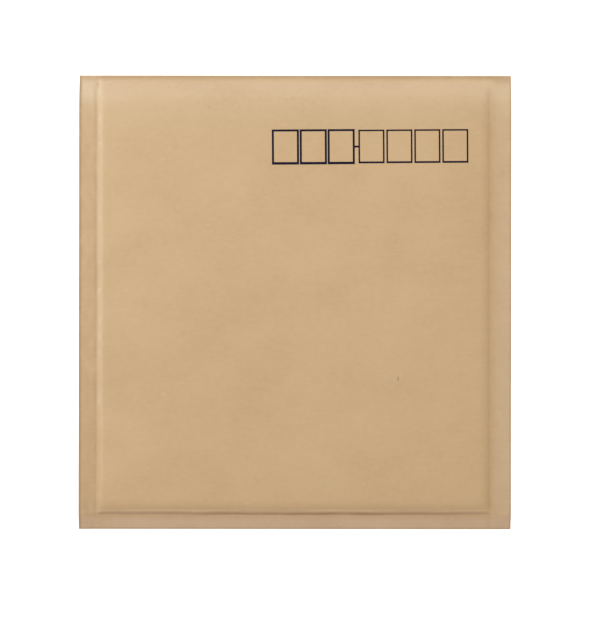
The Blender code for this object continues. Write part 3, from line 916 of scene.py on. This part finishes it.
def kraft_material():
    """Brown paper with its marked tones of painted sheen, highlights and shade and paler margins,
    cloudy pulp, fibres, specks, glints and two flecks.
    """
    material, tree, shader = new_tree("kraft")
    place = add_node(tree, "ShaderNodeTexCoord").outputs["Object"]
    clouds = noise_value(tree, stretched(tree, place, 0.7, 1.0, 1.0), 48.0, 4.0, 0.62)
    pulp = noise_value(tree, place, 420.0, 4.0, 0.65)
    fibres = noise_value(tree, stretched(tree, place, 360.0, 900.0, 900.0), 1.0, 3.0, 0.6)
    # The marked tones paint a sheen and paler margins, painted highlights and painted shade into
    # the colour.
    colour = mix_colours(tree, marked(tree, "pale_and_sheen"), KRAFT, KRAFT_PALE_AND_SHEEN)
    colour = mix_colours(tree, marked(tree, "painted_highlight"), colour, KRAFT_HIGHLIGHT)
    colour = mix_colours(tree, marked(tree, "shade_and_mottle"), colour, KRAFT_DARK)
    cloud_share = remap(tree, clouds, 0.3, 0.7, -0.28, 0.28)
    pulp_share = remap(tree, pulp, 0.3, 0.7, -0.15, 0.15)
    fibre_share = remap(tree, fibres, 0.3, 0.7, -0.13, 0.13)
    share = calculate(tree, "ADD", calculate(tree, "ADD", cloud_share, pulp_share), fibre_share)
    lighter = calculate(tree, "MAXIMUM", share, 0.0)
    darker = calculate(tree, "MULTIPLY", calculate(tree, "MINIMUM", share, 0.0), -0.6)
    colour = mix_colours(tree, lighter, colour, KRAFT_LIGHT)
    colour = mix_colours(tree, darker, colour, KRAFT_DARK)
    specks = scattered(tree, stretched(tree, place, 1.0, 0.45, 1.0), 95.0)
    colour = mix_colours(tree, remap(tree, specks, 0.012, 0.03, 0.3, 0.0), colour, FLECK)
    glints = scattered(tree, stretched(tree, place, 0.4, 1.0, 1.0), 130.0)
    colour = mix_colours(tree, remap(tree, glints, 0.02, 0.07, 0.4, 0.0), colour, KRAFT_HIGHLIGHT)
    fibre = fleck_share(tree, place, FIBRE, 0.00045, 0.0012, 0.55)
    spot = fleck_share(tree, place, SPOT, 0.0005, 0.0005, 0.2)
    colour = mix_colours(tree, fibre, colour, FLECK)
    colour = mix_colours(tree, spot, colour, FLECK)
    tree.links.new(colour, shader.inputs["Base Color"])
    tree.links.new(remap(tree, pulp, 0.2, 0.8, 0.50, 0.62), shader.inputs["Roughness"])
    shader.inputs["Specular IOR Level"].default_value = 0.8
    height = calculate(tree, "ADD", pulp, fibres)
    add_bump(tree, shader, height, 0.1, 0.0002)
    return material


def ink_material():
    """Dark matt ink with paper showing through in its thinnest grains."""
    material, tree, shader = new_tree("ink")
    place = add_node(tree, "ShaderNodeTexCoord").outputs["Object"]
    grain = noise_value(tree, place, 2200.0, 3.0, 0.6)
    colour = mix_colours(tree, remap(tree, grain, 0.6, 0.9, 0.0, 0.12), INK, KRAFT_DARK)
    tree.links.new(colour, shader.inputs["Base Color"])
    tree.links.new(remap(tree, grain, 0.2, 0.8, 0.5, 0.65), shader.inputs["Roughness"])
    shader.inputs["Specular IOR Level"].default_value = 0.04
    add_bump(tree, shader, grain, 0.1, 0.0001)
    return material


def film_material():
    """Clear film with fine creases."""
    material, tree, shader = new_tree("bubble_film")
    place = add_node(tree, "ShaderNodeTexCoord").outputs["Object"]
    haze = noise_value(tree, place, 60.0, 3.0)
    colour = mix_colours(tree, haze, (0.80, 0.86, 0.89, 1.0), (0.93, 0.95, 0.96, 1.0))
    tree.links.new(colour, shader.inputs["Base Color"])
    shader.inputs["Roughness"].default_value = 0.18
    shader.inputs["Alpha"].default_value = 0.45
    creases = noise_value(tree, place, 350.0, 4.0, 0.6)
    add_bump(tree, shader, creases, 0.25, 0.0003)
    return material


def coated_material(name, base, mottle, roughness, grain):
    """A smooth coated layer with a faint mottle."""
    material, tree, shader = new_tree(name)
    place = add_node(tree, "ShaderNodeTexCoord").outputs["Object"]
    cloud = noise_value(tree, place, grain, 4.0, 0.6)
    colour = mix_colours(tree, cloud, base, mottle)
    tree.links.new(colour, shader.inputs["Base Color"])
    shader.inputs["Roughness"].default_value = roughness
    add_bump(tree, shader, cloud, 0.08, 0.0001)
    return material


def floor_material():
    """White to the camera, with only a deep shadow showing, and plain white to the light."""
    material, tree, shader = new_tree("floor")
    shader.inputs["Base Color"].default_value = (0.85, 0.85, 0.85, 1.0)
    shader.inputs["Roughness"].default_value = 0.9
    shader.inputs["Specular IOR Level"].default_value = 0.0
    seen = add_node(tree, "ShaderNodeLightPath").outputs["Is Camera Ray"]
    glow = add_node(tree, "ShaderNodeEmission", {"Color": WHITE, "Strength": FLOOR_GLOW})
    both = add_node(tree, "ShaderNodeAddShader", {0: shader.outputs[0], 1: glow.outputs[0]})
    mix = add_node(
        tree, "ShaderNodeMixShader", {0: seen, 1: shader.outputs[0], 2: both.outputs[0]}
    )
    tree.links.new(mix.outputs[0], tree.nodes["Material Output"].inputs["Surface"])
    return material


def add_lamp(name, place, size, energy, colour):
    """A square soft light that faces the middle of the envelope."""
    data = bpy.data.lights.new(name, "AREA")
    data.shape = "SQUARE"
    data.size = size
    data.energy = energy
    data.color = colour
    lamp = bpy.data.objects.new(name, data)
    lamp.location = place
    lamp.rotation_euler = (-lamp.location).to_track_quat("-Z", "Y").to_euler()
    lamp.visible_camera = False
    bpy.context.scene.collection.objects.link(lamp)


def build_light():
    """Even light from all around, white where the camera sees it, and the soft lamps."""
    world = bpy.data.worlds.new("studio")
    bpy.context.scene.world = world
    world.use_nodes = True
    tree = world.node_tree
    background = tree.nodes["Background"]
    seen = add_node(tree, "ShaderNodeLightPath").outputs["Is Camera Ray"]
    strength = remap(tree, seen, 0.0, 1.0, WORLD_STRENGTH, 1.0)
    colour = mix_colours(tree, seen, WORLD_COLOUR, WHITE)
    tree.links.new(colour, background.inputs["Color"])
    tree.links.new(strength, background.inputs["Strength"])
    for lamp in LAMPS:
        add_lamp(*lamp)


def build_camera():
    """Straight above, as far off as makes the envelope as wide as in the photograph."""
    data = bpy.data.cameras.new("camera")
    data.lens = LENS
    data.sensor_width = SENSOR
    camera = bpy.data.objects.new("camera", data)
    distance = PIXEL * max(FRAME_WIDTH, FRAME_HEIGHT) * LENS / SENSOR
    across = (FRAME_WIDTH / 2 - ENVELOPE_CENTRE[0]) * PIXEL
    down = (FRAME_HEIGHT / 2 - ENVELOPE_CENTRE[1]) * PIXEL
    offset = Matrix.Rotation(ENVELOPE_TURN, 3, "Z") @ Vector((across, -down, 0.0))
    camera.location = offset + Vector((0.0, 0.0, FRONT_SEAL_LEVEL + distance))
    camera.rotation_euler = (0.0, 0.0, ENVELOPE_TURN)
    bpy.context.scene.collection.objects.link(camera)
    bpy.context.scene.camera = camera


def dress_strip_and_release():
    """Gives the two CAD nodes that are kept their materials."""
    strip_colours = (0.80, 0.76, 0.62, 1.0), (0.72, 0.68, 0.54, 1.0)
    paper_colours = (0.90, 0.88, 0.81, 1.0), (0.83, 0.80, 0.72, 1.0)
    strip = coated_material("adhesive", *strip_colours, 0.35, 300.0)
    paper = coated_material("release_paper", *paper_colours, 0.3, 500.0)
    for node, material in (("adhesive_strip", strip), ("release_liner", paper)):
        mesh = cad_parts[node].data
        mesh.materials.clear()
        mesh.materials.append(material)


bpy.context.scene.view_settings.view_transform = "Standard"
kraft_paper = kraft_material()
build_camera()
build_light()
build_floor()
build_front_paper(kraft_paper, ink_material())
build_back_paper(kraft_paper)
bubble_film = film_material()
build_lining("front_lining", "front_bubble_liner", FRONT_FILM_BOTTOM, 1, bubble_film)
build_lining("back_lining", "back_bubble_liner", BACK_FILM_BOTTOM, -1, bubble_film)
dress_strip_and_release()
